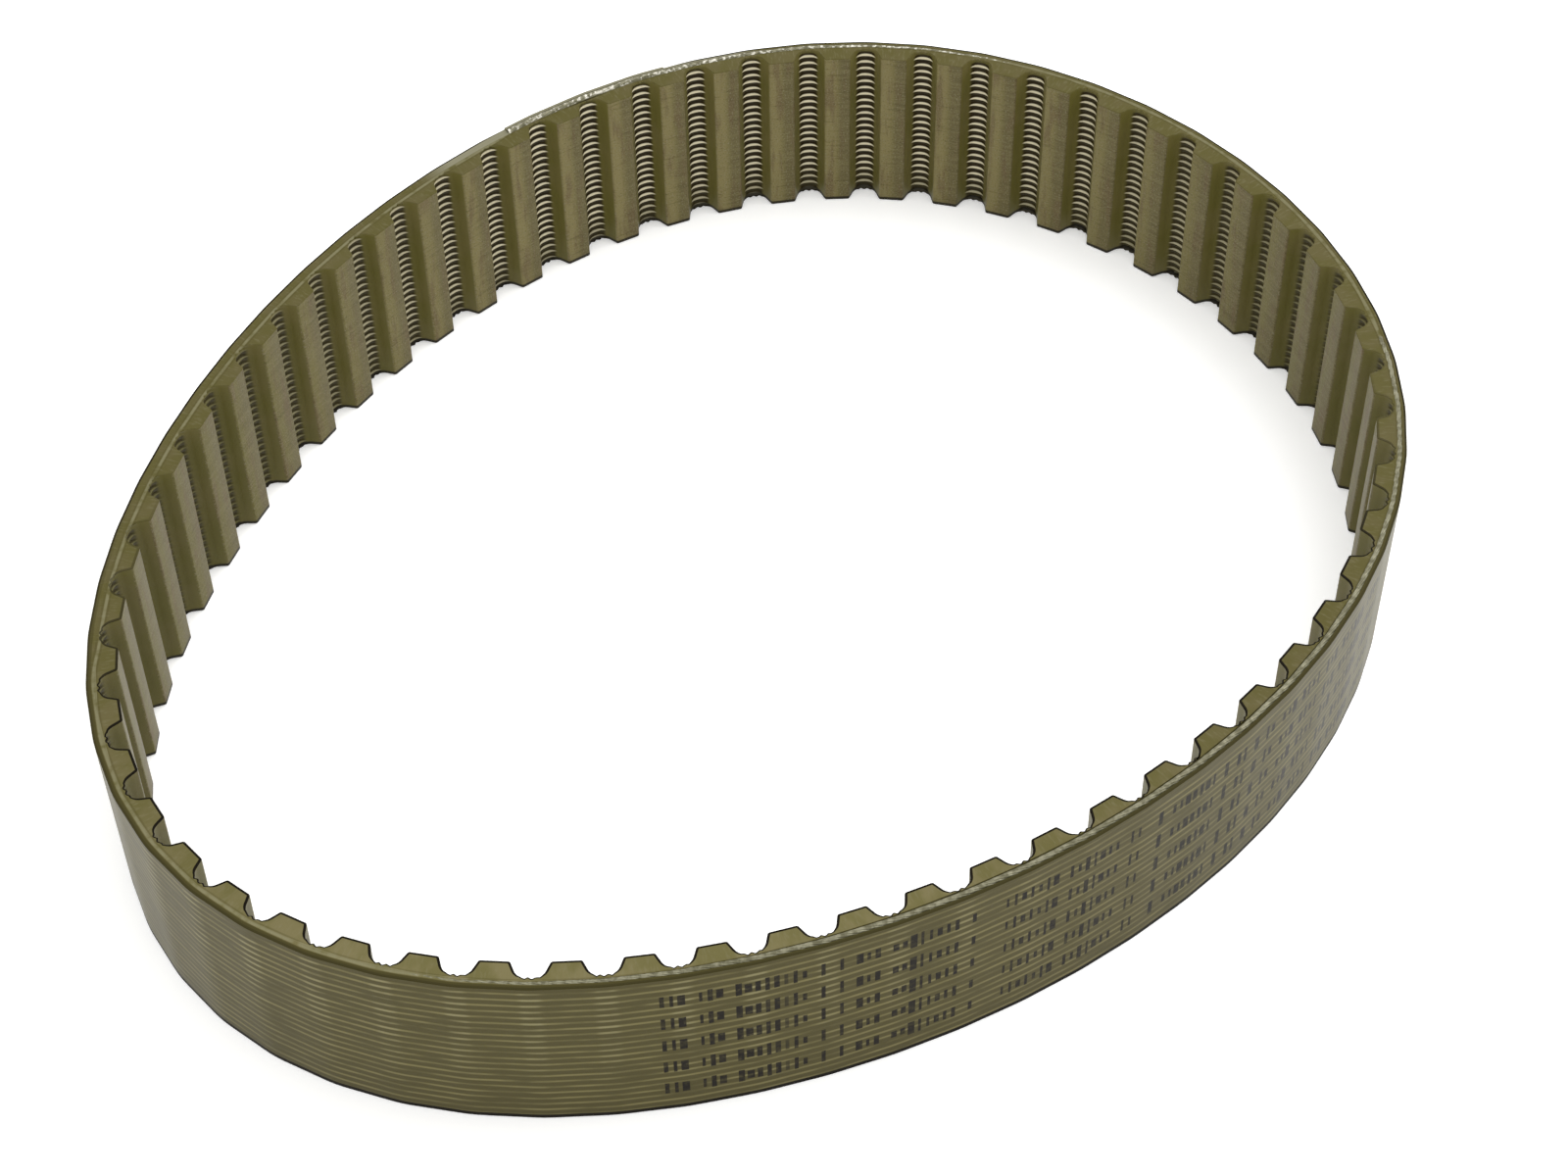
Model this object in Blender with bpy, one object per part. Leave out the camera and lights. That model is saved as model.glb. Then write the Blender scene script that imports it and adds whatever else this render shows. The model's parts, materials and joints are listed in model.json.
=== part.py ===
"""An endless cast polyurethane timing belt with trapezoidal teeth, standing on one side edge.

The belt is cut at its tooth gaps into rigid segments that hinge on one another at the cord line. Two
steel tension cords, wound side by side as one helix each, run through the web of every segment.
The loop lies in XY, its width runs up +Z from the floor, and +X is the long axis of its oval.
"""
import bmesh
import bpy
import math
from mathutils import Matrix, Vector

# Tooth system, in metres and degrees
TEETH = 60
PITCH = 0.010
TOOTH_HEIGHT = 0.0025
TOOTH_ROOT_WIDTH = 0.0065
FLANK_ANGLE = 25.0
ROOT_RADIUS = 0.0008
TIP_RADIUS = 0.0004
CORNER_STEPS = 3

# Belt section, with heights measured outward from the cord line
BELT_WIDTH = 0.032
BACK_HEIGHT = 0.00108
LAND_HEIGHT = -0.00092

# Free shape of the loop: curvature waves per turn, as shares of the mean curvature
CURVATURE_WAVES = {2: 0.342, 3: -0.235, 4: 0.034, 5: -0.076, 6: 0.010}
CLOSING_STEPS = 12

# Tooth gaps that keep their angle as the belt flexes, so no hinge is cut at them. Gap k follows tooth k
STIFF_GAPS = (5, 25, 34)
OPEN_GAP = 54
HINGE_CLEARANCE = 0.0004

# Tension cords, and the flat slot that holds them in the web
CORD_DIAMETER = 0.0009
CORD_SPACING = 0.00143
CORD_SIDES = 5
CORD_CLEARANCE = 0.00015
EDGE_COVER = 0.00045
SLOT_HEIGHTS = (-CORD_DIAMETER / 2 - CORD_CLEARANCE, CORD_DIAMETER / 2 + CORD_CLEARANCE)
FIRST_CORD_Z = EDGE_COVER + CORD_CLEARANCE + CORD_DIAMETER / 2
CORD_RISE = 2 * CORD_SPACING / TEETH
CORD_STEPS = round((BELT_WIDTH - 2 * FIRST_CORD_Z - CORD_SPACING) / CORD_RISE)

# Base colour, metallic and roughness
POLYURETHANE = ((0.14, 0.125, 0.055, 1.0), 0.0, 0.45)
CORD_STEEL = ((0.62, 0.62, 0.60, 1.0), 1.0, 0.35)


def clear_scene():
    for obj in list(bpy.data.objects):
        bpy.data.objects.remove(obj)


def make_material(name, look):
    colour, metallic, roughness = look
    material = bpy.data.materials.new(name)
    material.use_nodes = True
    shader = material.node_tree.nodes["Principled BSDF"]
    shader.inputs["Base Color"].default_value = colour
    shader.inputs["Metallic"].default_value = metallic
    shader.inputs["Roughness"].default_value = roughness
    material.diffuse_color = colour
    return material


def tooth_angles(first_wave):
    """The direction that each tooth's back faces, with the given curvature wave once per turn."""
    waves = {1: first_wave, **CURVATURE_WAVES}
    turns = [math.tau * tooth / TEETH for tooth in range(TEETH)]
    return [turn + sum(waves[n] * math.sin(n * turn) / n for n in waves) for turn in turns]


def closed_tooth_angles():
    """The angles at which the row of pitches ends where it began, found by the secant method."""
    before, now = 0.0, 0.01
    for _ in range(CLOSING_STEPS):
        miss_before = sum(math.cos(angle) for angle in tooth_angles(before))
        miss = sum(math.cos(angle) for angle in tooth_angles(now))
        if miss == miss_before:
            break
        before, now = now, now - miss * (now - before) / (miss - miss_before)
    return tooth_angles(now)


def outward(angle):
    return Vector((math.cos(angle), math.sin(angle), 0.0))


def forward(angle):
    return Vector((-math.sin(angle), math.cos(angle), 0.0))


def gap_points(angles):
    """The cord line's point at each tooth gap, centred on the loop's bounding box."""
    points = [Vector((0.0, 0.0, 0.0))]
    for angle in angles[1:]:
        points.append(points[-1] + PITCH * forward(angle))
    backs = [(point + BACK_HEIGHT * outward(angle)).x for point, angle in zip(points, angles)]
    middle_y = sum(point.y for point in points) / TEETH
    middle = Vector(((max(backs) + min(backs)) / 2, middle_y, 0.0))
    return [point - middle for point in points]


ANGLES = closed_tooth_angles()
GAPS = gap_points(ANGLES)


def on_tooth(tooth, along, height):
    """A point in XY, by its distance along the belt from a tooth's middle and its height."""
    angle = ANGLES[tooth]
    return GAPS[tooth] + (along - PITCH / 2) * forward(angle) + height * outward(angle)


def lean_of_cut(tooth, side):
    """Half the angle between a tooth and the next one (side 1) or the one before (side -1)."""
    turn = side * (ANGLES[(tooth + side) % TEETH] - ANGLES[tooth])
    return (turn % math.tau) / 2


def on_cut(tooth, side, height, setback=0.0):
    """A point on the plane midway between a tooth and its neighbour, set back into the tooth."""
    lean = lean_of_cut(tooth, side)
    along = PITCH / 2 + height * math.tan(lean) - setback / math.cos(lean)
    return on_tooth(tooth, side * along, height)


def rounded_corner(before, corner, after, radius):
    """Points along the arc that rounds a corner of an outline."""
    to_before = (before - corner).normalized()
    to_after = (after - corner).normalized()
    half = to_before.angle(to_after) / 2
    centre = corner + (to_before + to_after).normalized() * (radius / math.sin(half))
    start = (corner + to_before * (radius / math.tan(half)) - centre).normalized()
    finish = (corner + to_after * (radius / math.tan(half)) - centre).normalized()
    shares = [i / CORNER_STEPS for i in range(CORNER_STEPS + 1)]
    return [centre + radius * start.slerp(finish, share) for share in shares]


def tooth_profile():
    """(along, height) points from one root of a tooth to the other, with its corners rounded."""
    root = TOOTH_ROOT_WIDTH / 2
    tip = root - TOOTH_HEIGHT * math.tan(math.radians(FLANK_ANGLE))
    tip_height = LAND_HEIGHT - TOOTH_HEIGHT
    corners = [
        Vector((-PITCH / 2, LAND_HEIGHT)),
        Vector((-root, LAND_HEIGHT)),
        Vector((-tip, tip_height)),
        Vector((tip, tip_height)),
        Vector((root, LAND_HEIGHT)),
        Vector((PITCH / 2, LAND_HEIGHT)),
    ]
    profile = []
    for i, radius in enumerate((ROOT_RADIUS, TIP_RADIUS, TIP_RADIUS, ROOT_RADIUS)):
        profile += rounded_corner(*corners[i : i + 3], radius)
    return profile


PROFILE = tooth_profile()


def segment_teeth():
    """The tooth numbers of each rigid segment, from one side of the open gap round to the other."""
    segments = [[]]
    for step in range(TEETH):
        tooth = (OPEN_GAP + 1 + step) % TEETH
        segments[-1].append(tooth)
        if tooth != OPEN_GAP and tooth not in STIFF_GAPS:
            segments.append([])
    return segments


def cuts(teeth, height):
    """Points at one height on the cut before a segment, inside it at stiff gaps, and after it."""
    first = on_cut(teeth[0], -1, height, HINGE_CLEARANCE / 2)
    inner = [on_cut(tooth, -1, height) for tooth in teeth[1:]]
    return [first, *inner, on_cut(teeth[-1], 1, height, HINGE_CLEARANCE / 2)]


def toothed_side(teeth):
    """A segment's inner outline, from the land on its first cut to the land on its last."""
    lands = cuts(teeth, LAND_HEIGHT)
    outline = [lands[0]]
    for tooth, land in zip(teeth, lands[1:]):
        outline += [on_tooth(tooth, along, height) for along, height in PROFILE]
        outline.append(land)
    return outline


def add_row(mesh, points, z):
    return [mesh.verts.new((point.x, point.y, z)) for point in points]


def join_rings(mesh, ring, other):
    """Quads between two closed rings of as many vertices."""
    for i in range(len(ring)):
        mesh.faces.new((ring[i - 1], ring[i], other[i], other[i - 1]))


def segment_mesh(teeth):
    """One segment: its outline over the belt's width, with the cord slot running through it."""
    mesh = bmesh.new()
    inner, back = toothed_side(teeth), cuts(teeth, BACK_HEIGHT)[::-1]
    low = add_row(mesh, inner + back, 0.0)
    high = add_row(mesh, inner + back, BELT_WIDTH)
    mesh.faces.new(low)
    mesh.faces.new(high)
    after, before = len(inner) - 1, len(low) - 1
    for i in range(before):
        if i != after:
            mesh.faces.new((low[i], low[i + 1], high[i + 1], high[i]))
    floor, roof = (cuts(teeth, height) for height in SLOT_HEIGHTS)
    outline = [add_row(mesh, row, EDGE_COVER) for row in (floor, roof)]
    outline += [add_row(mesh, row, BELT_WIDTH - EDGE_COVER) for row in (roof, floor)]
    slot = list(zip(*outline))
    rings = [(low[0], low[before], high[before], high[0]), *slot]
    rings.append((low[after], low[after + 1], high[after + 1], high[after]))
    for ring, other in zip(rings, rings[1:]):
        join_rings(mesh, ring, other)
    return mesh


def cord_mesh(first_z):
    """One tension cord: a tube with a ring of vertices at each tooth gap that it passes."""
    mesh = bmesh.new()
    rings = []
    for step in range(CORD_STEPS + 1):
        gap = (OPEN_GAP + step) % TEETH
        lean = lean_of_cut(gap, 1)
        across = outward(ANGLES[gap] + lean) / math.cos(lean)
        centre = GAPS[gap] + Vector((0.0, 0.0, first_z + step * CORD_RISE))
        ring = []
        for side in range(CORD_SIDES):
            turn = math.tau * side / CORD_SIDES
            offset = math.cos(turn) * across + Vector((0.0, 0.0, math.sin(turn)))
            ring.append(mesh.verts.new(centre + offset * CORD_DIAMETER / 2))
        rings.append(ring)
    for ring, other in zip(rings, rings[1:]):
        join_rings(mesh, ring, other)
    mesh.faces.new(rings[0])
    mesh.faces.new(rings[-1])
    for face in mesh.faces:
        face.smooth = True
    return mesh


def add_object(name, mesh, material, place):
    """Makes a node of a mesh given in world coordinates, with its origin and axes at place."""
    bmesh.ops.recalc_face_normals(mesh, faces=mesh.faces)
    mesh.transform(place.inverted())
    data = bpy.data.meshes.new(name)
    mesh.to_mesh(data)
    mesh.free()
    data.materials.append(material)
    obj = bpy.data.objects.new(name, data)
    obj.matrix_world = place
    bpy.context.scene.collection.objects.link(obj)


def hinge_place(teeth, gap):
    """A segment's frame: on the hinge at one of its gaps, with +X out of the belt's back."""
    return Matrix.Translation(GAPS[gap]) @ Matrix.Rotation(ANGLES[teeth[0]], 4, "Z")


def build():
    clear_scene()
    polyurethane = make_material("polyurethane", POLYURETHANE)
    cord_steel = make_material("cord_steel", CORD_STEEL)
    segments = segment_teeth()
    root = len(segments) // 2
    for i, teeth in enumerate(segments):
        name = "tooth_segment_" + "_".join(f"{tooth:02d}" for tooth in teeth)
        gap = teeth[-1] if i < root else (teeth[0] - 1) % TEETH
        add_object(name, segment_mesh(teeth), polyurethane, hinge_place(teeth, gap))
    for name, first_z in (("s", FIRST_CORD_Z), ("z", FIRST_CORD_Z + CORD_SPACING)):
        add_object(f"tension_cord_{name}", cord_mesh(first_z), cord_steel, Matrix())


build()
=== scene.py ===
"""Looks for the timing belt: cast polyurethane pieces that bend from tooth to tooth, and steel cords.

The belt is laid out along its cord line. A point of it is (along, height, z): metres forward along the
belt, outward from the cord line, and up across its width. One piece of polyurethane and one of cords is
made for each tooth gap, flat, from the middle of one tooth to the middle of the next. It is then bent
over the gap, so that it meets its neighbours in the middle of their shared teeth.
"""
import json
import math

import bmesh
import bpy
import numpy as np
from mathutils import Matrix, Vector

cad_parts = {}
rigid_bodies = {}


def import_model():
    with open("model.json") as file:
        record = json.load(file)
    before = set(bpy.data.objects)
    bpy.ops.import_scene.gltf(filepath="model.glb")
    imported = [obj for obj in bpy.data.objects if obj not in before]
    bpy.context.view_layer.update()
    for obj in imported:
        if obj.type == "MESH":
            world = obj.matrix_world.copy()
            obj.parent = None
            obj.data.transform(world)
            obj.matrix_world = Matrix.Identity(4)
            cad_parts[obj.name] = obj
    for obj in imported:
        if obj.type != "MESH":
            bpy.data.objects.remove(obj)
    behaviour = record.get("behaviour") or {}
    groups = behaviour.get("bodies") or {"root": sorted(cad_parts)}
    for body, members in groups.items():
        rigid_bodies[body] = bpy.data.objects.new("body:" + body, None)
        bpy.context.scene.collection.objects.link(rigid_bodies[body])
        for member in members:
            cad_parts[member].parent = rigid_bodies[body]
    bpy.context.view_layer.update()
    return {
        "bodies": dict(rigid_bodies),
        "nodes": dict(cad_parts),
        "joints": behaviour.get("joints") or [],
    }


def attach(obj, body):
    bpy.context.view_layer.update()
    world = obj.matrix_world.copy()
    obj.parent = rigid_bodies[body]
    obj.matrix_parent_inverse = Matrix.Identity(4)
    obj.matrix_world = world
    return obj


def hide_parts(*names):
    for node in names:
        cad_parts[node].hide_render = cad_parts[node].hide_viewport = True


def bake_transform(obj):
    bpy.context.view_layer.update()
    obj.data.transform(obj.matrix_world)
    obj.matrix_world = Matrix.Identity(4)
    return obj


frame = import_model()


def tooth_numbers(body):
    return [int(part) for part in body.split("_")[1:]]


# Tooth system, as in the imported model, but for the root radius, which is larger, as on the real belt
TEETH = 1 + max(tooth_numbers(body)[-1] for body in frame["bodies"])
PITCH = 0.010
BELT_WIDTH = 0.032
BACK_HEIGHT = 0.00108
LAND_HEIGHT = -0.00092
TOOTH_HEIGHT = 0.0025
ROOT_HALF_GAP = 0.00175
FLANK_ANGLE = math.radians(25.0)
ROOT_RADIUS = 0.0017
TIP_RADIUS = 0.0004
BEND = 0.0023  # half of the length over which a tooth gap bends
BEND_SAMPLES = 257
SHARP_ANGLE = math.radians(32.0)  # faces that meet at more than this keep a crease

# Points along and across a piece of polyurethane
LAND_STEPS, ROOT_STEPS, TIP_STEPS = 4, 5, 3
BACK_STEPS = 9
ROW_COUNT = 197

# Where the loop's chain of segments is open, so that its piece is in two halves
OPEN_GAP = 54
HAIRLINE = 0.00001  # left on either side of that gap's middle

# Tension cords: two helices wound side by side
CORD_RADIUS = 0.00045
CORD_SPACING = 0.00143
FIRST_CORD_Z = 0.00105
CORD_RISE = 2 * CORD_SPACING / TEETH
CUT_AWAY = 0.00052  # a cord whose middle is further than this outside a cut edge was cut off whole
NEAR_EDGE = 0.00075  # and one whose middle is closer than this to a cut edge shows its strands
FULLY_OPEN = 0.0001  # and one this close lies fully open

# Exposed cords, with six strands, and the plainer ones inside
STRANDS = 6
STRAND_LAY = 0.011
STRAND_DEPTH = 0.00028  # an exposed cord's middle lies this far inside the cut edge
LOBE_DEPTH = 0.2  # how deep the grooves between strands are, as a share of the radius
STRAND_SIDES, RUN_SIDES = 24, 6
STRAND_ALONG = np.linspace(-PITCH / 2, PITCH / 2, 27)
RUN_ALONG = np.array([-PITCH / 2, -BEND, -BEND / 2, 0.0, BEND / 2, BEND, PITCH / 2])

# The channel along a cut side edge: where no cord shows, and over an exposed cord
CHANNEL_DEPTHS = (0.00002, 0.00028)
CHANNEL_HALVES = (0.00018, 0.00056)
CHANNEL_FLOOR = 0.85  # the floor's width as a share of the channel's

# Combs in the lands: a bead over each cord, and a shallow hollow across the middle of the gap
COMB_DEPTH = 0.00036
COMB_LEVEL = 0.0010  # the beads keep their height up to this far from the gap's middle
COMB_REACH = 0.0019  # and have run out here
BEAD_SHARE = 0.95  # how much of a half circle each bead's outline is
HOLLOW = 0.00035
LAND_RIM = 0.0006

# Cut side edges. A dark line of painted shade runs inside the outline, and is this wide at the teeth, the
# lands and the back
CUT_BEVEL = 0.00010
TOOTH_LINE = 0.00038
LAND_LINE = 0.00022
BACK_LINE = 0.00036
ROOT_LEVEL = LAND_HEIGHT - 0.0008  # below this height the line has its width for the teeth
RAGGED, RAGGED_WAVE = 0.00015, 0.0011  # the depth and length of the knife's tears in the lands
TORN_GAPS = range(13, 26)  # the top edge's outermost cord ends here, torn out of its channel
RAISED_GAPS = (10, 11, 12)  # the knife left the top edge a little high here
RAISE = 0.0003
SHADOW_HEIGHT = 0.0009  # how high up the back the painted contact shadow reaches

# Material slots of a polyurethane piece
TOOTHED, BACK, DARK, CUT = range(4)

# Print on the back, in millimetres: how far apart its rows and its bars are, and where it starts and ends
INK_ROW = 5.35
INK_CELL = 1.3
INK_ALONG = (366.0, 500.0)
INK_ACROSS = (3.4, 29.2)

# Stretches of the loop that look different: the tooth gap in the middle, and how far from it, in
# millimetres, the stretch begins to fade and has faded
LIT_LANDS = (8, 30.0, 125.0)
BARE_GLINTING_WIRE = (8, 55.0, 90.0)
BACKLIT_BACK = (29, 90.0, 160.0)
LINED_BACK = (38, 110.0, 190.0)
BRIGHT_CUT = (36, 25.0, 120.0)
EDGE_STRETCH = (38, 110.0, 170.0)
TORN_CUT = (TORN_GAPS[len(TORN_GAPS) // 2], 60.0, 68.0)
SMEARED_CUT = (RAISED_GAPS[1], 26.0, 34.0)
UNSHADED_CORNER = (RAISED_GAPS[1], 15.0, 22.0)

# Floor and light
FLOOR_REACH = 4.0
FLOOR_LEVEL = -0.00005
SKY_STRENGTH = 1.25
SOFTBOX_PLACE = (0.5, -0.1, 0.75)
SOFTBOX_SIZE = 0.8
SOFTBOX_POWER = 4.0

# Camera, at the photograph's viewing angle
CAMERA_AZIMUTH = math.radians(-132.281)
CAMERA_ELEVATION = math.radians(49.297)
CAMERA_ROLL = math.radians(-0.87)
CAMERA_AIM = Vector((0.004457, -0.000619, 0.0))  # from the middle of the cord line
CAMERA_DISTANCE = 0.512768
CAMERA_LENS, CAMERA_SENSOR = 74.03, 36.0


def body_of_tooth():
    return {tooth: body for body in frame["bodies"] for tooth in tooth_numbers(body)}


def gap_points():
    """The cord line's point at each tooth gap: its hinge or, with none, one pitch from both neighbours."""
    points = {}
    for joint in frame["joints"]:
        one, other = tooth_numbers(joint["parent"]), tooth_numbers(joint["child"])
        before = one if (one[-1] + 1) % TEETH == other[0] else other
        points[before[-1]] = Vector(joint["pos_m"])
    for gap in range(TEETH):
        if gap not in points:
            before, after = points[(gap - 1) % TEETH], points[(gap + 1) % TEETH]
            chord = after - before
            outward = Vector((chord.y, -chord.x, 0.0)).normalized()
            rise = math.sqrt(PITCH**2 - (chord.length / 2) ** 2)
            points[gap] = (before + after) / 2 + rise * outward
    return [points[gap] for gap in range(TEETH)]


BODY = body_of_tooth()
GAPS = gap_points()


def smooth_step(share):
    share = np.clip(share, 0.0, 1.0)
    return share * share * (3 - 2 * share)


# ---------------------------------------------------------------- bending a flat piece over its gap


class Gap:
    """One tooth gap, or the part of it before or after its middle: where it is, and how it turns."""

    def __init__(self, number, first=-PITCH / 2, last=PITCH / 2):
        self.number, self.first, self.last = number, first, last
        self.point = GAPS[number]
        before, after = GAPS[number - 1], GAPS[(number + 1) % TEETH]
        self.start = (self.point - before).normalized()
        self.finish = (after - self.point).normalized()
        self.turn = math.atan2(self.start.cross(self.finish).z, self.start.dot(self.finish))
        self.bodies = (BODY[number], BODY[(number + 1) % TEETH])

    def bent(self, points):
        """Flat (along, height, z) points, with along measured from the gap, moved to their places."""
        along, height, z = points.T
        along = np.clip(along, self.first, self.last)
        fine = np.linspace(-BEND, BEND, BEND_SAMPLES)
        angles = self.turn * smooth_step((fine + BEND) / (2 * BEND))
        step = np.diff(fine)
        forward = np.concatenate([[0], np.cumsum(step * np.cos((angles[1:] + angles[:-1]) / 2))])
        inward = np.concatenate([[0], np.cumsum(step * np.sin((angles[1:] + angles[:-1]) / 2))])
        reach = 2 * BEND * math.cos(self.turn / 2) / math.hypot(forward[-1], inward[-1])
        angle = np.interp(along, fine, angles)
        beyond = along - np.clip(along, -BEND, BEND)
        x = np.interp(along, fine, forward) * reach - BEND + beyond * np.cos(angle)
        y = np.interp(along, fine, inward) * reach + beyond * np.sin(angle)
        x = x + height * np.sin(angle)
        y = y - height * np.cos(angle)
        ahead, left = self.start, Vector((-self.start.y, self.start.x, 0.0))
        world_x = self.point.x + x * ahead.x + y * left.x
        world_y = self.point.y + x * ahead.y + y * left.y
        return np.stack([world_x, world_y, z], axis=1)

    def attach(self, obj):
        """Attaches a piece to the body of the teeth beside its gap when both are on one body or, at the
        open gap, to the one that it is on; any other piece stays where it was made.
        """
        if self.number == OPEN_GAP:
            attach(obj, self.bodies[0 if self.first < 0 else 1])
        elif self.bodies[0] == self.bodies[1]:
            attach(obj, self.bodies[0])
        else:
            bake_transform(obj)

    def within(self, along):
        """Which of some places along the belt this part of the gap reaches."""
        return (along > self.first - 2 * HAIRLINE) & (along < self.last + 2 * HAIRLINE)

    def name(self, what):
        """A piece's name, with the half added where the loop's chain of segments is open."""
        half = "" if self.number != OPEN_GAP else "_before" if self.first < 0 else "_after"
        return f"{what}_{self.number:02d}{half}"


def all_gaps():
    """Every tooth gap, whole, but for the open one, which is in two halves."""
    whole = [Gap(number) for number in range(TEETH) if number != OPEN_GAP]
    return [*whole, Gap(OPEN_GAP, last=-HAIRLINE), Gap(OPEN_GAP, first=HAIRLINE)]


# ---------------------------------------------------------------- cords in the belt


def cord_level(number, along=0.0):
    """How far the cords' helices have risen at a place in a gap's piece, up to whole spacings."""
    gaps_on = (number - OPEN_GAP) + along / PITCH
    return FIRST_CORD_Z + CORD_RISE * gaps_on


def cord_runs(number):
    """The counts of whole spacings at which a cord, whole or cut, passes a gap."""
    first = cord_level(number)
    lowest = math.ceil((-CUT_AWAY - first) / CORD_SPACING)
    highest = math.floor((BELT_WIDTH + CUT_AWAY - first) / CORD_SPACING)
    return range(lowest, highest + 1)


def exposure(number, along, top):
    """1 where a cord lies open along a cut side edge, and 0 where none does."""
    if top and number in TORN_GAPS:
        return np.zeros(len(along))
    edge = BELT_WIDTH if top else 0.0
    phase = (cord_level(number, along) - edge) / CORD_SPACING
    off_edge = np.abs(phase - np.round(phase)) * CORD_SPACING
    return 1 - smooth_step((off_edge - FULLY_OPEN) / (CUT_AWAY - FULLY_OPEN))


def raised(number, top):
    return RAISE if top and number in RAISED_GAPS else 0.0


def cord_piece(gap, material):
    """Every run of the two cords past one gap. Those at the cut edges show their twisted strands."""
    piece = FlatPiece()
    for run in cord_runs(gap.number):
        level = cord_level(gap.number) + run * CORD_SPACING
        top, bottom = level > BELT_WIDTH - NEAR_EDGE, level < NEAR_EDGE
        if top and gap.number in TORN_GAPS:
            continue
        along = STRAND_ALONG if top or bottom else RUN_ALONG
        along = along[gap.within(along)]
        sides = STRAND_SIDES if top or bottom else RUN_SIDES
        z = cord_level(gap.number, along) + run * CORD_SPACING
        z = np.clip(z, STRAND_DEPTH, BELT_WIDTH - STRAND_DEPTH) + raised(gap.number, top)
        twist = math.tau * (gap.number * PITCH + along) / STRAND_LAY * (1 if run % 2 else -1)
        rings = []
        for place, middle, turned in zip(along, z, twist):
            angles = turned + math.tau * np.arange(sides) / sides
            lobe = np.sqrt(np.abs(np.cos(STRANDS / 2 * (angles - turned))))
            radius = CORD_RADIUS * (1 - LOBE_DEPTH * (1 - lobe))
            rings.append(piece.add(place, radius * np.cos(angles), middle + radius * np.sin(angles)))
        for ring, other in zip(rings, rings[1:]):
            piece.strip(ring + ring[:1], other + other[:1])
        piece.face(rings[0])
        piece.face(rings[-1])
    return piece.make(gap.name("cords"), gap, [material])


# ---------------------------------------------------------------- polyurethane pieces


def arc(corner, before, after, radius, steps):
    """Points along the arc that rounds a corner of a line in (along, height)."""
    corner, before, after = Vector(corner), Vector(before), Vector(after)
    to_before, to_after = (before - corner).normalized(), (after - corner).normalized()
    half = to_before.angle(to_after) / 2
    centre = corner + (to_before + to_after).normalized() * (radius / math.sin(half))
    start = (corner + to_before * (radius / math.tan(half)) - centre).normalized()
    finish = (corner + to_after * (radius / math.tan(half)) - centre).normalized()
    return [tuple(centre + radius * start.slerp(finish, i / steps)) for i in range(steps + 1)]


def toothed_columns():
    """(along, height) of the toothed side from the middle of one tooth to the middle of the next."""
    slope = math.tan(FLANK_ANGLE)
    root = (ROOT_HALF_GAP, LAND_HEIGHT)
    tip = (ROOT_HALF_GAP + TOOTH_HEIGHT * slope, LAND_HEIGHT - TOOTH_HEIGHT)
    middle = (PITCH / 2, LAND_HEIGHT - TOOTH_HEIGHT)
    fillet = arc(root, (0.0, LAND_HEIGHT), tip, ROOT_RADIUS, ROOT_STEPS)
    land = [(fillet[0][0] * i / LAND_STEPS, LAND_HEIGHT) for i in range(LAND_STEPS)]
    bend_end = (BEND, LAND_HEIGHT - (BEND - ROOT_HALF_GAP) / slope)
    half = land + fillet + [bend_end] + arc(tip, root, middle, TIP_RADIUS, TIP_STEPS) + [middle]
    return [(-along, height) for along, height in half[:0:-1]] + half


COLUMNS = np.array(toothed_columns())
BACK_ALONG = np.array([PITCH / 2, *np.linspace(BEND, -BEND, BACK_STEPS), -PITCH / 2])
ROWS = np.linspace(CUT_BEVEL, BELT_WIDTH - CUT_BEVEL, ROW_COUNT)


def comb_relief(number, along, z):
    """How far the land is pressed back: most between its beads, of which one lies over each cord."""
    phase = (z - cord_level(number, along)) / CORD_SPACING
    off_cord = np.abs(phase - np.round(phase)) * 2
    groove = (1 - np.sqrt(1 - (BEAD_SHARE * off_cord) ** 2)) / (1 - math.sqrt(1 - BEAD_SHARE**2))
    fade = 1 - smooth_step((np.abs(along) - COMB_LEVEL) / (COMB_REACH - COMB_LEVEL))
    hollow = HOLLOW * max(0.0, 1 - (along / COMB_REACH) ** 2)
    inside = smooth_step(np.minimum(z, BELT_WIDTH - z) / LAND_RIM)
    torn = RAGGED * math.sin(math.tau * along / RAGGED_WAVE + number**2)
    return inside * (hollow + COMB_DEPTH * groove * fade) + (1 - inside) * torn * fade


def inset(outline, distance):
    """A closed outline in (along, height) moved inward, with its ends kept on their planes."""
    distance = np.broadcast_to(distance, len(outline))
    before, after = np.roll(outline, 1, axis=0), np.roll(outline, -1, axis=0)
    normals = []
    for edge in (outline - before, after - outline):
        normals.append(np.stack([-edge[:, 1], edge[:, 0]], axis=1) / np.linalg.norm(edge, axis=1)[:, None])
    middle = normals[0] + normals[1]
    moved = outline + distance[:, None] * 2 * middle / (middle**2).sum(axis=1)[:, None]
    at_end = (outline[:, 0] == outline[:, 0].min()) | (outline[:, 0] == outline[:, 0].max())
    moved[at_end, 0] = outline[at_end, 0]
    moved[at_end, 1] = outline[at_end, 1] - np.sign(outline[at_end, 1]) * distance[at_end]
    return moved


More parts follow.
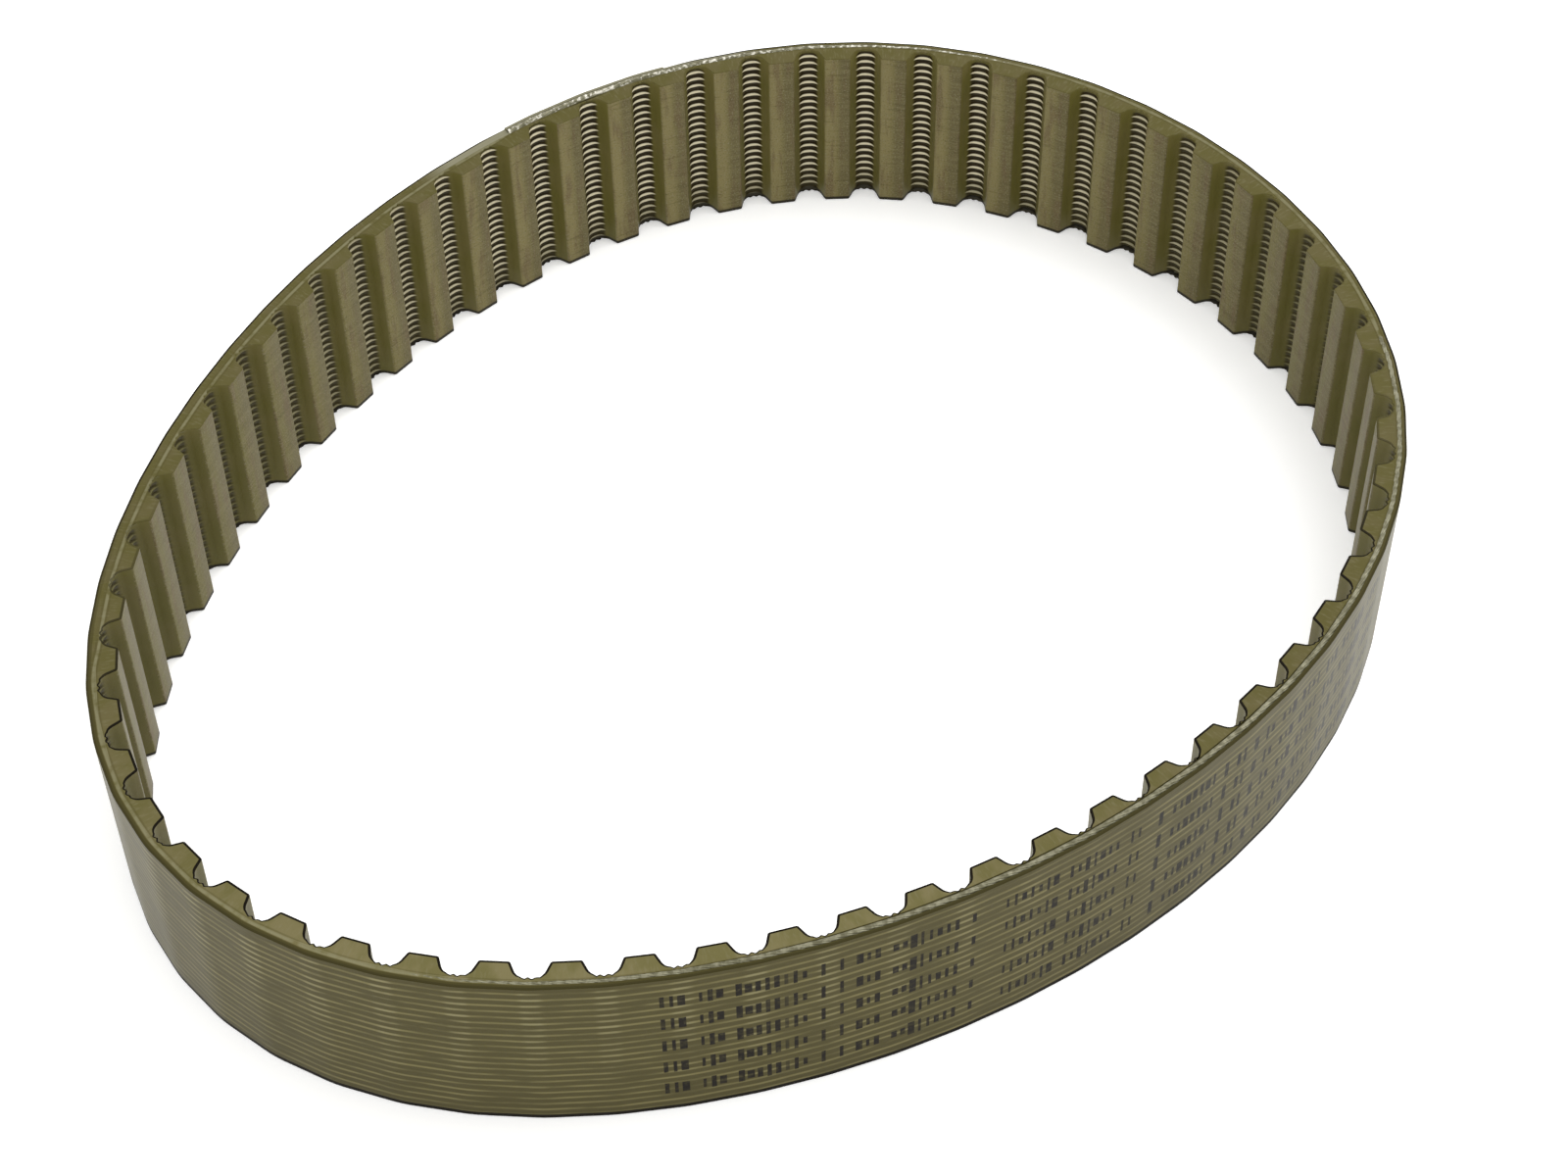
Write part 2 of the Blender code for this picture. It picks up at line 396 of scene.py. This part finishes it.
class FlatPiece:
    """Vertices and faces of a piece in flat (along, height, z) coordinates."""

    def __init__(self):
        self.points, self.faces, self.marks = [], [], []

    def add(self, along, height, z):
        """Adds a row of vertices and returns their numbers."""
        row = np.broadcast_arrays(*(np.asarray(part, float) for part in (along, height, z)))
        first = len(self.points)
        self.points += list(zip(*(part.ravel().tolist() for part in row)))
        return list(range(first, len(self.points)))

    def face(self, corners, mark=TOOTHED):
        self.faces.append(corners)
        self.marks.append(mark)

    def strip(self, row, other, mark=TOOTHED):
        """Quads between two rows of as many vertices."""
        for i in range(len(row) - 1):
            self.face([row[i], row[i + 1], other[i + 1], other[i]], mark)

    def make(self, name, gap, materials):
        """Makes the object, bent over its gap."""
        flat = np.array(self.points)
        mesh = bpy.data.meshes.new(name)
        mesh.from_pydata(gap.bent(flat).tolist(), [], self.faces)
        place = flat + np.array([gap.number * PITCH, 0.0, 0.0])
        belt = mesh.attributes.new("belt", "FLOAT_VECTOR", "POINT")
        belt.data.foreach_set("vector", (place * 1000).astype(np.float32).ravel())
        for material in materials:
            mesh.materials.append(material)
        mesh.polygons.foreach_set("material_index", self.marks)
        shaped = bmesh.new()
        shaped.from_mesh(mesh)
        bmesh.ops.recalc_face_normals(shaped, faces=shaped.faces)
        for shaped_face in shaped.faces:
            shaped_face.smooth = True
        for edge in shaped.edges:
            edge.smooth = edge.is_manifold and edge.calc_face_angle() < SHARP_ANGLE
        shaped.to_mesh(mesh)
        shaped.free()
        obj = bpy.data.objects.new(name, mesh)
        bpy.context.scene.collection.objects.link(obj)
        return obj


def belt_piece(gap, materials):
    """The polyurethane from the middle of one tooth to the middle of the next."""
    piece = FlatPiece()
    columns = []
    for along, height in COLUMNS[gap.within(COLUMNS[:, 0])]:
        in_comb = abs(along) <= BEND
        rows = ROWS if in_comb else ROWS[[0, -1]]
        relief = comb_relief(gap.number, along, rows) if in_comb else 0.0
        columns.append(piece.add(along, height + relief, rows))
    for i in range(len(columns) - 1):
        if len(columns[i]) == len(columns[i + 1]):
            piece.strip(columns[i], columns[i + 1])
        else:
            piece.face(columns[i] + columns[i + 1][::-1])
    back_rows = (ROWS[0], SHADOW_HEIGHT, ROWS[-1] + raised(gap.number, True))
    back = [piece.add(BACK_ALONG[gap.within(BACK_ALONG)], BACK_HEIGHT, z) for z in back_rows]
    # The back's lowest strip takes the dark corner material: painted contact shadow along the floor
    piece.strip(back[0], back[1], DARK)
    piece.strip(back[1], back[2], BACK)
    ends = [cut_edge(piece, gap, columns, back, side) for side in (0, -1)]
    shade_edge_ends = (back[1][0], back[1][-1])
    end_columns = (columns[-1], columns[0])
    for low, high, shade_edge, column in zip(*ends, shade_edge_ends, end_columns):
        piece.face([*low, shade_edge, *high[::-1], *column[-2:0:-1]])
    return piece.make(gap.name("belt"), gap, materials)


def cut_edge(piece, gap, columns, back, side):
    """One cut side edge, with its bevel and the line inside it darkened as painted shade, and the channel
    of the outermost cord.

    Returns the vertices along the piece's two end planes, from the tooth's tip to the back.
    """
    toothed = [column[side] for column in columns]
    outline = toothed + back[side]
    flat = np.array([piece.points[i][:2] for i in outline])
    top = side == -1
    rim_z = BELT_WIDTH if top else 0.0
    back_z = rim_z + raised(gap.number, top)
    count = len(toothed)
    z = np.where(np.arange(len(flat)) < count, rim_z, back_z)
    line_heights = (ROOT_LEVEL, LAND_HEIGHT, BACK_HEIGHT)
    reach = np.interp(flat[:, 1], line_heights, (TOOTH_LINE, LAND_LINE, BACK_LINE))
    rings = [outline, *(piece.add(*inset(flat, distance).T, z) for distance in (CUT_BEVEL, reach))]
    for ring, other in zip(rings, rings[1:]):
        piece.strip(ring[:count], other[:count], DARK)
        piece.strip(ring[count:], other[count:], DARK)
    along = BACK_ALONG[gap.within(BACK_ALONG)][::-1]
    share = exposure(gap.number, along, top)
    floor_z = back_z + np.interp(share, (0, 1), CHANNEL_DEPTHS) * (-1 if top else 1)
    half = np.interp(share, (0, 1), CHANNEL_HALVES)
    lines = [
        piece.add(along, -half, rim_z),
        piece.add(along, -half * CHANNEL_FLOOR, floor_z),
        piece.add(along, half * CHANNEL_FLOOR, floor_z),
        piece.add(along, half, back_z),
    ]
    inner = rings[-1]
    piece.face(inner[:count] + lines[0][::-1], CUT)
    for line, other in zip(lines, lines[1:]):
        piece.strip(line, other, CUT)
    piece.face(lines[-1] + inner[count:], CUT)
    toothed_end = [(ring[count - 1], ring[0]) for ring in rings]
    back_end = [(ring[count], ring[-1]) for ring in rings[::-1]]
    both = [*toothed_end, *((line[-1], line[0]) for line in lines), *back_end]
    return tuple(zip(*both))


# ---------------------------------------------------------------- materials


MIX_ONE, MIX_OTHER, MIX_RESULT = 6, 7, 2  # the Mix node's sockets for colours


class Nodes:
    """Short calls for building a material's node tree."""

    def __init__(self, name):
        self.material = bpy.data.materials.new(name)
        self.material.use_nodes = True
        self.tree = self.material.node_tree
        self.shader = self.tree.nodes["Principled BSDF"]

    def link(self, value, socket):
        if isinstance(value, bpy.types.NodeSocket):
            self.tree.links.new(value, socket)
        else:
            socket.default_value = value

    def math(self, operation, *values):
        node = self.tree.nodes.new("ShaderNodeMath")
        node.operation = operation
        for value, socket in zip(values, node.inputs):
            self.link(value, socket)
        return node.outputs[0]

    def belt(self):
        """The place on the belt in millimetres: (along, height, z)."""
        node = self.tree.nodes.new("ShaderNodeAttribute")
        node.attribute_name = "belt"
        parts = self.tree.nodes.new("ShaderNodeSeparateXYZ")
        self.tree.links.new(node.outputs["Vector"], parts.inputs[0])
        return node.outputs["Vector"], parts.outputs

    def step(self, value, start, finish):
        """0 before start, 1 after finish, and smooth between them."""
        node = self.tree.nodes.new("ShaderNodeMapRange")
        node.interpolation_type = "SMOOTHSTEP"
        for part, socket in zip((value, start, finish, 0.0, 1.0), node.inputs):
            self.link(part, socket)
        return node.outputs[0]

    def noise(self, vector, scale, detail=2.0, stretch=(1, 1, 1)):
        spread = self.tree.nodes.new("ShaderNodeVectorMath")
        spread.operation = "MULTIPLY"
        self.link(vector, spread.inputs[0])
        spread.inputs[1].default_value = stretch
        node = self.tree.nodes.new("ShaderNodeTexNoise")
        self.link(spread.outputs[0], node.inputs["Vector"])
        node.inputs["Scale"].default_value = scale
        node.inputs["Detail"].default_value = detail
        return node.outputs[0]

    def mix(self, share, one, other):
        node = self.tree.nodes.new("ShaderNodeMix")
        node.data_type = "RGBA"
        self.link(share, node.inputs["Factor"])
        self.link(one, node.inputs[MIX_ONE])
        self.link(other, node.inputs[MIX_OTHER])
        return node.outputs[MIX_RESULT]

    def bump(self, height, distance):
        node = self.tree.nodes.new("ShaderNodeBump")
        node.inputs["Strength"].default_value = 1.0
        node.inputs["Distance"].default_value = distance
        self.link(height, node.inputs["Height"])
        self.link(node.outputs[0], self.shader.inputs["Normal"])


def rgb(red, green, blue):
    return (red, green, blue, 1.0)


class BeltNodes(Nodes):
    """Nodes with the distances in millimetres that the polyurethane's colours depend on."""

    def __init__(self, name):
        super().__init__(name)
        self.place, (self.along, self.height, self.z) = self.belt()
        pitch, spacing = PITCH * 1000, CORD_SPACING * 1000
        turns = self.math("DIVIDE", self.along, pitch)
        level = self.math("MULTIPLY_ADD", turns, CORD_RISE * 1000, cord_level(0) * 1000)
        self.cords = self.math("DIVIDE", self.math("SUBTRACT", self.z, level), spacing)
        self.to_gap = self.math("MULTIPLY", self.math("PINGPONG", turns, 0.5), pitch)
        past_tooth = self.math("SUBTRACT", self.math("FRACT", turns), 0.5)
        self.past_tooth = self.math("MULTIPLY", past_tooth, pitch)

    def around(self, gap):
        """The distance in millimetres along the loop from a tooth gap, whichever way is shorter."""
        loop = TEETH * PITCH * 1000
        turns = self.math("DIVIDE", self.math("SUBTRACT", self.along, gap * PITCH * 1000), loop)
        return self.math("MULTIPLY", self.math("PINGPONG", turns, 0.5), loop)

    def off_cord(self, shift=0.0):
        """0 level with a cord, moved up by a share of the spacing, and 1 midway between two."""
        moved = self.math("SUBTRACT", self.cords, shift)
        return self.math("MULTIPLY", self.math("PINGPONG", moved, 0.5), 2.0)

    def along_stretch(self, stretch):
        """1 in the middle of a stretch of the loop, and 0 where it has faded."""
        gap, fading, faded = stretch
        return self.without(self.step(self.around(gap), fading, faded))

    def both(self, one, other):
        return self.math("MULTIPLY", one, other)

    def without(self, share):
        return self.math("SUBTRACT", 1.0, share)

    def finish(self, colour, roughness, specular, metallic=0.0):
        self.link(colour, self.shader.inputs["Base Color"])
        self.shader.inputs["Roughness"].default_value = roughness
        self.shader.inputs["Specular IOR Level"].default_value = specular
        self.shader.inputs["Metallic"].default_value = metallic


def comb_colour(nodes, base):
    """Painted light on the lands: a pale crescent of painted highlight under each cord, palest on one side
    of the loop, with painted shade in the dark grooves between.
    """
    narrowing = nodes.math("MULTIPLY", nodes.math("POWER", nodes.to_gap, 2.0), 0.07)
    width = nodes.math("SUBTRACT", 0.36, narrowing)
    off_cord = nodes.off_cord(0.14)
    pale = nodes.without(nodes.step(nodes.math("SUBTRACT", off_cord, width), -0.16, 0.06))
    higher = nodes.math("MULTIPLY_ADD", nodes.step(nodes.z, 1.5, 6.5), 0.5, 0.5)
    # Painted light shining through the thin lands, strongest on one stretch of the loop and higher up the
    # belt
    comb_glow = nodes.both(nodes.along_stretch(LIT_LANDS), higher)
    crescent = nodes.mix(comb_glow, rgb(0.115, 0.103, 0.036), rgb(0.66, 0.60, 0.42))
    # Painted shade in the grooves between the beads
    groove = nodes.mix(comb_glow, rgb(0.040, 0.032, 0.008), rgb(0.020, 0.013, 0.002))
    comb = nodes.mix(pale, groove, crescent)
    in_land = nodes.without(nodes.step(nodes.to_gap, 1.35, 1.85))
    in_land = nodes.both(in_land, nodes.without(nodes.step(nodes.z, 30.7, 31.4)))
    below_back = nodes.without(nodes.step(nodes.height, -0.2, -0.1))
    return nodes.mix(nodes.both(in_land, below_back), base, comb)


def tip_colour(nodes, base):
    """The grained tips, whose two halves differ, with faint cord streaks, brown tints and painted light on
    one half along one stretch of the loop.
    """
    on_tip = nodes.without(nodes.step(nodes.height, -3.3, -3.0))
    grey = nodes.without(nodes.step(nodes.past_tooth, -0.9, 0.9))
    tip = nodes.mix(grey, rgb(0.106, 0.091, 0.024), rgb(0.100, 0.083, 0.032))
    # Painted light: one half of each tip lighter along the same stretch as the lands' painted glow
    lit = nodes.both(nodes.along_stretch(LIT_LANDS), nodes.without(grey))
    tip = nodes.mix(lit, tip, rgb(0.165, 0.138, 0.054))
    brown = nodes.both(nodes.step(nodes.noise(nodes.place, 0.3, 3.0, (2.4, 1.0, 0.35)), 0.48, 0.66), 0.7)
    tip = nodes.mix(brown, tip, rgb(0.098, 0.068, 0.030))
    streaks = nodes.noise(nodes.place, 1.0, 2.0, (0.25, 1.0, 2.2))
    tip = nodes.mix(nodes.both(nodes.step(streaks, 0.45, 0.7), 0.45), tip, rgb(0.140, 0.121, 0.050))
    tip = nodes.mix(nodes.both(nodes.step(streaks, 0.45, 0.25), 0.45), tip, rgb(0.062, 0.052, 0.014))
    grain = nodes.noise(nodes.place, 3.5, 3.0)
    tip = nodes.mix(nodes.both(nodes.step(grain, 0.53, 0.72), 0.7), tip, rgb(0.180, 0.162, 0.100))
    tip = nodes.mix(nodes.both(nodes.step(grain, 0.45, 0.28), 0.6), tip, rgb(0.045, 0.036, 0.010))
    return nodes.mix(on_tip, base, tip)


def near_floor(nodes, colour):
    """Painted contact shadow: a dark band along the edge that the belt stands on."""
    low = nodes.without(nodes.step(nodes.z, 0.6, 0.8))
    return nodes.mix(nodes.both(low, 0.93), colour, rgb(0.008, 0.006, 0.002))


def ink_share(nodes):
    """Rows of plain printed bars along part of the back, with uneven wear."""
    rows = nodes.math("PINGPONG", nodes.math("DIVIDE", nodes.z, INK_ROW), 0.5)
    off_row = nodes.math("MULTIPLY", rows, INK_ROW)
    cells = nodes.math("DIVIDE", nodes.along, INK_CELL)
    white = nodes.tree.nodes.new("ShaderNodeTexWhiteNoise")
    white.noise_dimensions = "1D"
    nodes.link(nodes.math("FLOOR", cells), white.inputs["W"])
    chance = white.outputs["Value"]
    other_chance = nodes.math("FRACT", nodes.math("MULTIPLY", chance, 7.0))
    reach = nodes.math("MULTIPLY_ADD", other_chance, 0.9, 0.75)
    tall = nodes.without(nodes.step(nodes.math("SUBTRACT", off_row, reach), -0.1, 0.1))
    third_chance = nodes.math("FRACT", nodes.math("MULTIPLY", chance, 13.0))
    margin = nodes.math("MULTIPLY_ADD", third_chance, 0.26, 0.08)
    beyond = nodes.math("SUBTRACT", nodes.math("PINGPONG", cells, 0.5), margin)
    in_cell = nodes.step(beyond, -0.03, 0.05)
    printed = nodes.step(chance, 0.20, 0.22)
    lowest, highest = INK_ACROSS
    above = nodes.step(nodes.z, lowest, lowest + 0.2)
    across = nodes.both(above, nodes.without(nodes.step(nodes.z, highest - 0.2, highest)))
    first, last = INK_ALONG
    starts = nodes.step(nodes.along, first - 0.5, first)
    stops = nodes.without(nodes.step(nodes.along, last, last + 0.5))
    share = nodes.both(nodes.both(tall, in_cell), nodes.both(printed, across))
    wear_and_shade = nodes.step(nodes.noise(nodes.place, 0.9, 4.0), 0.34, 0.56)
    share = nodes.both(share, nodes.both(starts, stops))
    return nodes.both(share, nodes.math("MULTIPLY_ADD", wear_and_shade, 0.27, 0.72))


def toothed_polyurethane():
    """Olive, slightly cloudy cast polyurethane: the lands, flanks and tips."""
    nodes = BeltNodes("polyurethane_toothed")
    patchy = nodes.step(nodes.noise(nodes.place, 0.16, 3.0), 0.35, 0.65)
    base = nodes.mix(patchy, rgb(0.100, 0.088, 0.020), rgb(0.112, 0.095, 0.028))
    colour = near_floor(nodes, comb_colour(nodes, tip_colour(nodes, base)))
    nodes.finish(colour, roughness=0.42, specular=0.12)
    nodes.bump(nodes.noise(nodes.place, 3.0, 4.0), 0.00003)
    return nodes.material


def back_polyurethane():
    """The smooth back: lines of painted light shining through between the cords, brightest over the tooth
    gaps, and the print.
    """
    nodes = BeltNodes("polyurethane_back")
    # Painted light shining through between the cords, in lines across the back
    between = nodes.step(nodes.off_cord(), 0.45, 0.95)
    edge = nodes.math("MINIMUM", nodes.z, nodes.math("SUBTRACT", BELT_WIDTH * 1000, nodes.z))
    uneven = nodes.step(nodes.noise(nodes.place, 1.0, 3.0, (0.12, 1.0, 0.6)), 0.25, 0.65)
    between = nodes.both(nodes.both(between, nodes.step(edge, 0.5, 1.1)), uneven)
    even = nodes.mix(between, rgb(0.068, 0.057, 0.014), rgb(0.086, 0.073, 0.020))
    lined = nodes.mix(between, rgb(0.056, 0.047, 0.014), rgb(0.142, 0.123, 0.048))
    # The lines' painted light is stronger along one stretch of the loop
    lines = nodes.mix(nodes.along_stretch(LINED_BACK), even, lined)
    # Painted light through the thin web over the tooth gaps, on one stretch of the loop
    at_gap = nodes.without(nodes.step(nodes.to_gap, 0.8, 2.0))
    bright = nodes.both(nodes.both(at_gap, between), nodes.step(nodes.z, 4.0, 26.0))
    backlit_gaps = nodes.along_stretch(BACKLIT_BACK)
    lines = nodes.mix(nodes.both(nodes.both(bright, backlit_gaps), 0.8), lines, rgb(0.200, 0.180, 0.090))
    colour = nodes.mix(ink_share(nodes), lines, rgb(0.004, 0.002, 0.000))
    nodes.finish(colour, roughness=0.35, specular=0.07)
    nodes.bump(nodes.noise(nodes.place, 2.2, 4.0, (0.5, 1.0, 1.0)), 0.00002)
    return nodes.material


def cut_colour(nodes):
    """The knife-cut polyurethane, with painted light on one stretch of the loop, a pale line of painted
    highlight along the outermost cord's bed or its torn rim, and painted shade beside that line.
    """
    shade = nodes.step(nodes.noise(nodes.place, 0.3, 3.0, (1.0, 0.6, 1.0)), 0.4, 0.65)
    dull = nodes.mix(shade, rgb(0.080, 0.070, 0.021), rgb(0.089, 0.076, 0.029))
    # Painted light shining through the cut edges along one stretch of the loop
    glowing = nodes.mix(shade, rgb(0.116, 0.103, 0.038), rgb(0.148, 0.128, 0.058))
    lit = nodes.along_stretch(BRIGHT_CUT)
    colour = nodes.mix(lit, dull, glowing)
    scratches = nodes.step(nodes.noise(nodes.place, 2.5, 3.0, (1.0, 0.25, 1.0)), 0.5, 0.75)
    colour = nodes.mix(nodes.both(scratches, 0.3), colour, rgb(0.170, 0.156, 0.090))
    # Darker over the web along one stretch of the loop
    web = nodes.step(nodes.height, 0.2, 0.5)
    colour = nodes.mix(nodes.both(web, nodes.along_stretch(EDGE_STRETCH)), colour, rgb(0.048, 0.041, 0.012))
    line = nodes.math("MULTIPLY", nodes.along_stretch(TORN_CUT), -0.75)
    from_line = nodes.math("ABSOLUTE", nodes.math("SUBTRACT", nodes.height, line))
    # Painted shade in a line beside the cord's bed
    furrow_shade = nodes.both(nodes.step(from_line, 0.2, 0.35), nodes.without(nodes.step(from_line, 0.45, 0.65)))
    colour = nodes.mix(nodes.both(furrow_shade, 0.35), colour, rgb(0.050, 0.042, 0.012))
    # A pale line of painted highlight along the cord's bed
    ridge_highlight = nodes.without(nodes.step(from_line, 0.12, 0.32))
    broken = nodes.step(nodes.noise(nodes.place, 0.6, 3.0), 0.25, 0.55)
    colour = nodes.mix(nodes.both(ridge_highlight, nodes.both(broken, 0.6)), colour, rgb(0.190, 0.180, 0.105))
    smeared = nodes.both(nodes.along_stretch(SMEARED_CUT), nodes.step(nodes.height, -0.6, -0.3))
    return nodes.mix(nodes.both(smeared, 0.8), colour, rgb(0.215, 0.205, 0.140))


def cut_polyurethane():
    """The knife-cut side edges."""
    nodes = BeltNodes("polyurethane_cut")
    nodes.finish(cut_colour(nodes), roughness=0.5, specular=0.05)
    nodes.bump(nodes.noise(nodes.place, 2.5, 3.0, (1.0, 0.25, 1.0)), 0.00003)
    return nodes.material


def corner_polyurethane():
    """The side edges' corners, dark with painted shade: round the back, fainter on two stretches of the
    loop, along the teeth on one of them, and near the floor.
    """
    nodes = BeltNodes("polyurethane_corner")
    shade = nodes.noise(nodes.place, 0.8, 3.0)
    dark = nodes.mix(shade, rgb(0.002, 0.001, 0.000), rgb(0.008, 0.006, 0.002))
    wear_and_shade = nodes.along_stretch(EDGE_STRETCH)
    at_back = nodes.step(nodes.height, -0.3, 0.3)
    unshaded = nodes.along_stretch(UNSHADED_CORNER)
    # Painted shade at the back's corners, fainter on two stretches of the loop
    back_corner_shade = nodes.both(at_back, nodes.math("MULTIPLY_ADD", wear_and_shade, -0.65, 0.95))
    back_corner_shade = nodes.both(back_corner_shade, nodes.without(nodes.both(unshaded, 0.8)))
    # Painted shade along the tooth corners on one stretch of the loop
    shade_edge = nodes.both(nodes.without(at_back), wear_and_shade)
    # Painted contact shadow near the floor
    low = nodes.without(nodes.step(nodes.z, 1.0, 2.0))
    share = nodes.math("MAXIMUM", nodes.math("ADD", back_corner_shade, shade_edge), low)
    nodes.finish(nodes.mix(share, cut_colour(nodes), dark), roughness=0.5, specular=0.05)
    return nodes.material


def strand_steel():
    """Stranded steel wire, dulled by the film of polyurethane left on it, and pale on one stretch of the
    loop where that is torn: uncovered steel with painted glints.
    """
    nodes = BeltNodes("steel_strand")
    film = nodes.step(nodes.noise(nodes.place, 1.2, 3.0), 0.35, 0.65)
    colour = nodes.mix(film, rgb(0.110, 0.103, 0.058), rgb(0.220, 0.210, 0.140))
    # Uncovered steel and painted glints together, on one stretch of the loop
    bare_glints = nodes.step(nodes.noise(nodes.place, 1.6, 3.0), 0.50, 0.64)
    colour = nodes.mix(nodes.both(bare_glints, nodes.along_stretch(BARE_GLINTING_WIRE)), colour, rgb(0.62, 0.60, 0.52))
    nodes.finish(colour, roughness=0.42, specular=0.3, metallic=0.3)
    return nodes.material


def pale_floor():
    nodes = Nodes("floor_paper")
    nodes.shader.inputs["Base Color"].default_value = rgb(0.93, 0.93, 0.92)
    nodes.shader.inputs["Roughness"].default_value = 0.9
    nodes.shader.inputs["Emission Color"].default_value = rgb(1.0, 1.0, 1.0)
    nodes.shader.inputs["Emission Strength"].default_value = 0.28
    return nodes.material


# ---------------------------------------------------------------- floor, light and camera


def add_floor():
    mesh = bpy.data.meshes.new("floor")
    corners = ((-1, -1), (1, -1), (1, 1), (-1, 1))
    points = [(x * FLOOR_REACH, y * FLOOR_REACH, FLOOR_LEVEL) for x, y in corners]
    mesh.from_pydata(points, [], [(0, 1, 2, 3)])
    mesh.materials.append(pale_floor())
    floor = bpy.data.objects.new("floor", mesh)
    bpy.context.scene.collection.objects.link(floor)


def add_softbox():
    light = bpy.data.lights.new("softbox", "AREA")
    light.shape = "DISK"
    light.size = SOFTBOX_SIZE
    light.energy = SOFTBOX_POWER
    obj = bpy.data.objects.new("softbox", light)
    obj.location = SOFTBOX_PLACE
    obj.rotation_euler = (-Vector(SOFTBOX_PLACE)).to_track_quat("-Z", "Y").to_euler()
    bpy.context.scene.collection.objects.link(obj)


def add_sky():
    world = bpy.data.worlds.new("studio")
    world.use_nodes = True
    background = world.node_tree.nodes["Background"]
    background.inputs["Color"].default_value = rgb(1.0, 1.0, 1.0)
    background.inputs["Strength"].default_value = SKY_STRENGTH
    bpy.context.scene.world = world


def add_camera():
    level = math.cos(CAMERA_ELEVATION)
    east, north = level * math.cos(CAMERA_AZIMUTH), level * math.sin(CAMERA_AZIMUTH)
    away = Vector((east, north, math.sin(CAMERA_ELEVATION)))
    right = (-away).cross(Vector((0, 0, 1))).normalized()
    up = right.cross(-away)
    turned_right = right * math.cos(CAMERA_ROLL) + up * math.sin(CAMERA_ROLL)
    turned_up = -right * math.sin(CAMERA_ROLL) + up * math.cos(CAMERA_ROLL)
    turned = Matrix((turned_right, turned_up, away)).transposed().to_4x4()
    target = sum(GAPS, Vector()) / TEETH + CAMERA_AIM
    camera = bpy.data.cameras.new("camera")
    camera.lens = CAMERA_LENS
    camera.sensor_width = CAMERA_SENSOR
    obj = bpy.data.objects.new("camera", camera)
    obj.matrix_world = Matrix.Translation(target + CAMERA_DISTANCE * away) @ turned
    bpy.context.scene.collection.objects.link(obj)
    bpy.context.scene.camera = obj


def segment_nodes():
    """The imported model's tooth segments in each body."""
    found = {body: [] for body in frame["bodies"]}
    for name in frame["nodes"]:
        if name.startswith("tooth_segment_"):
            first_tooth = tooth_numbers(name.removeprefix("tooth_"))[0]
            found[BODY[first_tooth]].append(name)
    return found


def build():
    polyurethane = [
        toothed_polyurethane(),
        back_polyurethane(),
        corner_polyurethane(),
        cut_polyurethane(),
    ]
    steel = strand_steel()
    segments = segment_nodes()
    for gap in all_gaps():
        belt = belt_piece(gap, polyurethane)
        gap.attach(belt)
        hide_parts(*segments[gap.bodies[0]], *segments[gap.bodies[1]])
        cords = cord_piece(gap, steel)
        gap.attach(cords)
        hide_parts("tension_cord_s", "tension_cord_z")
    add_floor()
    add_sky()
    add_softbox()
    add_camera()
    bpy.context.scene.view_settings.view_transform = "Standard"


build()
